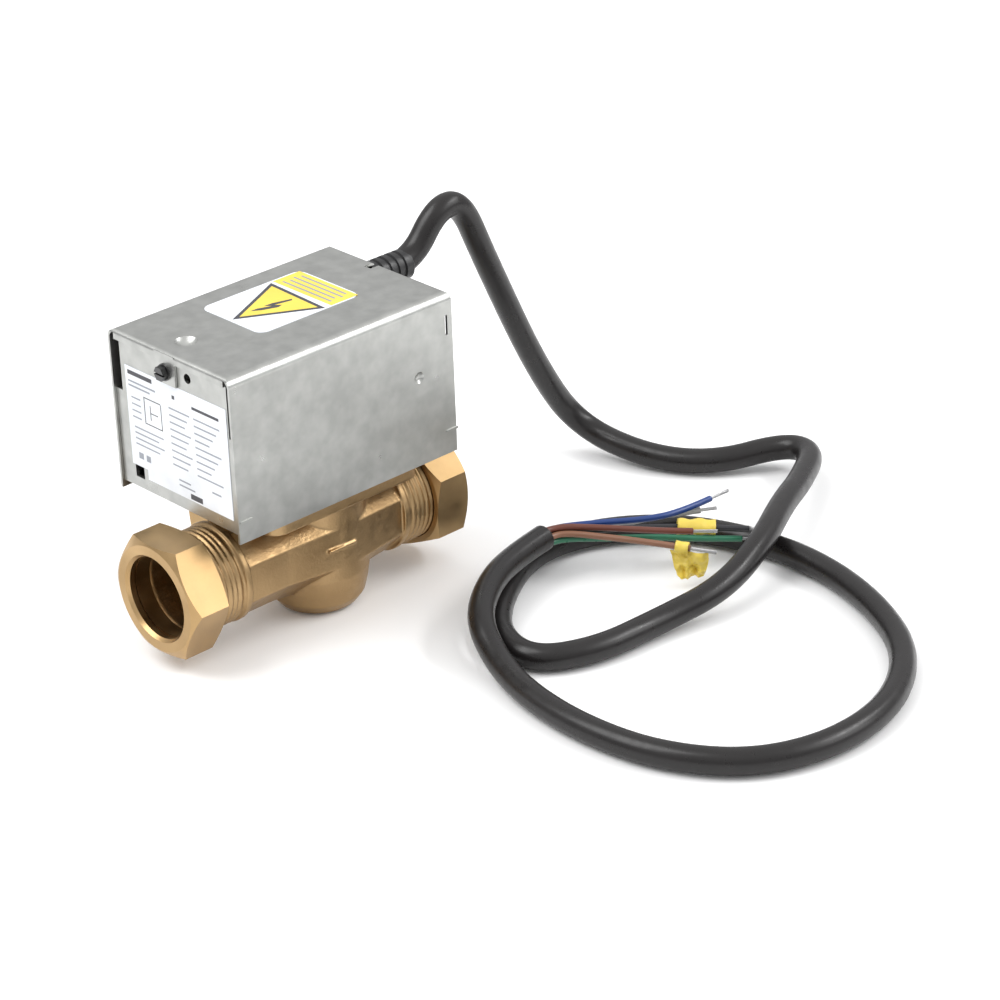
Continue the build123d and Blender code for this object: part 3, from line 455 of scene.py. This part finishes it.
def build_front_label():
    """Generic print on the end plate's label: bars, a small box diagram, a dark block."""
    low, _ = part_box("front_label")
    origin = (low[0] / MM - 0.01, 0, 0)
    heavy = [bar(-20.0, 90.2, 12.5, 1.5), bar(2.6, 88.2, 1.3, 1.3), bar(12.5, 87.6, 13.5, 1.0)]
    heavy += box_diagram(-12.5, 74.6, 8.6, 9.2)
    heavy.append(bar(8.6, 54.6, 6.0, 1.9))
    fine = [bar(-20.0, 87.6, 14.0, 0.6), bar(-20.0, 86.0, 11.0, 0.6)]
    for row in range(9):
        fine.append(bar(0.5, 84.2 - 2.5 * row, 10.5 - 1.4 * (row % 3), 0.55))
        fine.append(bar(13.0, 84.2 - 2.5 * row, 13.0 - 1.9 * (row % 4), 0.55))
    fine += [bar(-19.0, 82.0 - 2.3 * row, 4.6, 0.5) for row in range(4)]
    fine += [bar(-18.5, 71.5 - 2.0 * row, 15.0 - 2.6 * (row % 2), 0.5) for row in range(4)]
    fine += [bar(-17.5, 60.6, 2.4, 2.2), bar(-13.6, 60.6, 2.2, 2.2)]
    fine += [bar(3.0, 57.6, 8.0, 0.55), bar(3.0, 59.4, 6.0, 0.55), bar(20.0, 60.5, 4.5, 0.6)]
    for name, outlines, mat in (("label_print_bold", heavy, "ink"),
                                ("label_print_fine", fine, "ink_grey")):
        obj = plates(name, outlines, origin, (0, -1, 0), (0, 0, 1), PRINT_THICK, mat)
        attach(obj, BODY)


def build_lances():
    """Two short raised lances low on the cover's side."""
    low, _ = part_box("cover")
    origin = (0, low[1] / MM, 0)
    marks = [bar(-41.5, 54.2, 5.0, 0.7), bar(47.5, 55.0, 5.0, 0.7)]
    obj = plates("side_lances", marks, origin, (1, 0, 0), (0, 0, 1), 0.4, "galvanised")
    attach(obj, BODY)


def build_sticker():
    """Electric hazard triangle and a plain yellow panel on the cover's white sticker."""
    _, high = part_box("top_sticker")
    origin = (0, 0, high[2] / MM + 0.005)
    outer = [(-10.9, 2.2), (15.6, -13.1), (16.9, 15.9)]
    middle = [sum(point[axis] for point in outer) / 3 for axis in (0, 1)]

    def shrunk(factor):
        return [(middle[0] + (u - middle[0]) * factor, middle[1] + (v - middle[1]) * factor)
                for u, v in outer]

    bolt = [(13.0, 0.6), (6.3, 2.7), (3.0, 2.9), (4.9, 0.9), (0.2, 2.9), (-2.6, 3.0),
            (0.2, 0.9), (5.6, -1.3), (7.6, -0.7), (5.8, 1.1), (12.2, -0.3)]
    lines = [bar(20.0 + 2.4 * row, -10.5 + (row % 2), 0.8, 24.5 - 2 * (row % 2)) for row in range(4)]
    layers = (("hazard_border", [shrunk(1.0)], PRINT_THICK, "ink"),
              ("hazard_field", [shrunk(0.84)], 2 * PRINT_THICK, "yellow"),
              ("hazard_bolt", [bolt], 3 * PRINT_THICK, "ink"),
              ("yellow_panel", [bar(18.2, -12.9, 11.6, 29.4)], PRINT_THICK, "yellow"),
              ("panel_print", lines, 0.05, "ink_grey"))
    for name, outlines, thick, mat in layers:
        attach(plates(name, outlines, origin, (1, 0, 0), (0, 1, 0), thick, mat), BODY)


# ---------------------------------------------------------------- CAD nodes that keep their shape

NODE_LOOK = {
    "chassis": "galvanised", "cover": "galvanised", "valve_body": "cast", "bonnet_plate": "nut",
    "port_a_nut": "nut", "port_b_nut": "nut", "port_ab_nut": "nut", "olives": "nut",
    "bonnet_gasket": "fibre", "bonnet_screws": "bright", "head_screws": "bright",
    "stem_o_ring": "rubber", "valve_stem": "bright", "stem_clip": "spring", "ball_arm": "nut",
    "seat_ball": "rubber", "cover_screw": "dark", "front_label": "paper", "top_sticker": "paper",
    "sector_gear": "nylon", "motor_pinion": "bright", "reduction_wheel": "nylon",
    "motor_rotor": "dark", "motor_coil": "winding", "motor_can": "bright", "motor_base": "galvanised",
    "motor_posts": "nut", "motor_screws": "bright", "return_spring": "spring",
    "micro_switch": "black", "switch_bracket": "black", "switch_plunger": "nylon",
    "switch_lever": "spring", "switch_pivot": "spring", "inner_wires": "grey",
    "earth_screw": "bright", "earth_tag": "bright", "strain_relief": "boot"}
BEVELS = {"port_a_nut": 0.35, "port_b_nut": 0.35, "port_ab_nut": 0.35, "bonnet_plate": 0.3,
          "cover_screw": 0.15, "strain_relief": 0.12, "cover": 0.12, "chassis": 0.12}


def soften(obj, width):
    """Small rounded edges, and smooth shading held by weighted normals."""
    edge = obj.modifiers.new("edges", "BEVEL")
    edge.width = width * MM
    edge.segments = 3
    edge.limit_method = "ANGLE"
    edge.angle_limit = math.radians(38)
    edge.harden_normals = True


def forged(obj):
    """Fuses the forging's surfaces and rounds the places where they meet."""
    fuse = obj.modifiers.new("fuse", "REMESH")
    fuse.mode = "VOXEL"
    fuse.voxel_size = 0.36 * MM
    fuse.use_smooth_shade = True
    relax = obj.modifiers.new("relax", "SMOOTH")
    relax.factor = 0.5
    relax.iterations = 5


def dress_nodes():
    """Materials and softened edges on the CAD nodes."""
    for name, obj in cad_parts.items():
        if name in NODE_LOOK:
            paint(obj, NODE_LOOK[name])
        if name in BEVELS:
            soften(obj, BEVELS[name])
    forged(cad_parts["valve_body"])


# ---------------------------------------------------------------- studio

CAMERA_PLACE = (-0.6288, -0.7951, 0.5440)
CAMERA_RIGHT = (0.72498, -0.68800, -0.03260)
CAMERA_DOWN = (-0.33188, -0.30745, -0.89181)
CAMERA_AHEAD = (0.60354, 0.65736, -0.45123)


def build_camera():
    """Long lens at the fitted place and turn."""
    data = bpy.data.cameras.new("camera")
    data.lens = 122.4
    data.sensor_width = 36
    data.clip_end = 50
    camera = bpy.data.objects.new("camera", data)
    bpy.context.collection.objects.link(camera)
    turn = Matrix((CAMERA_RIGHT, [-v for v in CAMERA_DOWN], [-v for v in CAMERA_AHEAD])).transposed()
    camera.matrix_world = Matrix.Translation(CAMERA_PLACE) @ turn.to_4x4()
    bpy.context.scene.camera = camera


def area_light(name, place, target, size, power):
    """White rectangular light aimed at a point."""
    data = bpy.data.lights.new(name, "AREA")
    data.shape = "RECTANGLE"
    data.size, data.size_y = size
    data.energy = power
    light = bpy.data.objects.new(name, data)
    light.location = place
    aim = Vector(target) - Vector(place)
    light.rotation_euler = aim.to_track_quat("-Z", "Y").to_euler()
    bpy.context.collection.objects.link(light)


def build_floor():
    """White sweep under the part."""
    bpy.ops.mesh.primitive_plane_add(size=30, location=(0, 0, -0.0002))
    floor = bpy.context.object
    floor.name = "floor"
    mat = material("floor_white", (0.93, 0.93, 0.93), 0.0, 0.6, Specular_IOR_Level=0.15)
    floor.data.materials.append(mat)


def build_world():
    """Surroundings that brighten from the horizon up."""
    world = bpy.data.worlds.new("studio")
    bpy.context.scene.world = world
    world.use_nodes = True
    nodes, links = world.node_tree.nodes, world.node_tree.links
    coords = nodes.new("ShaderNodeTexCoord")
    split = nodes.new("ShaderNodeSeparateXYZ")
    shade = nodes.new("ShaderNodeValToRGB")
    horizon, zenith = shade.color_ramp.elements
    horizon.position, horizon.color = 0.0, (0.42, 0.42, 0.43, 1)
    zenith.position, zenith.color = 0.85, (1, 1, 1, 1)
    links.new(coords.outputs["Generated"], split.inputs["Vector"])
    links.new(split.outputs["Z"], shade.inputs["Fac"])
    background = nodes["Background"]
    links.new(shade.outputs["Color"], background.inputs["Color"])
    background.inputs["Strength"].default_value = 1.12


def build_studio():
    """Floor, surroundings and three lights."""
    build_floor()
    build_world()
    area_light("key", (-0.9, 0.5, 1.5), (0, 0, 0.05), (1.2, 1.2), 21)
    area_light("fill", (0.9, -1.3, 0.9), (0.05, 0, 0.05), (1.0, 0.8), 7)
    area_light("strip", (1.0, -0.75, 1.15), (0.0, -0.03, 0.09), (0.9, 0.2), 8)
    view = bpy.context.scene.view_settings
    view.view_transform = "Standard"
    view.look = "None"
    view.exposure = 0.0


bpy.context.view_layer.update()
dress_nodes()
build_sheath()
build_cores()
build_front_label()
build_sticker()
build_lances()
build_studio()
build_camera()
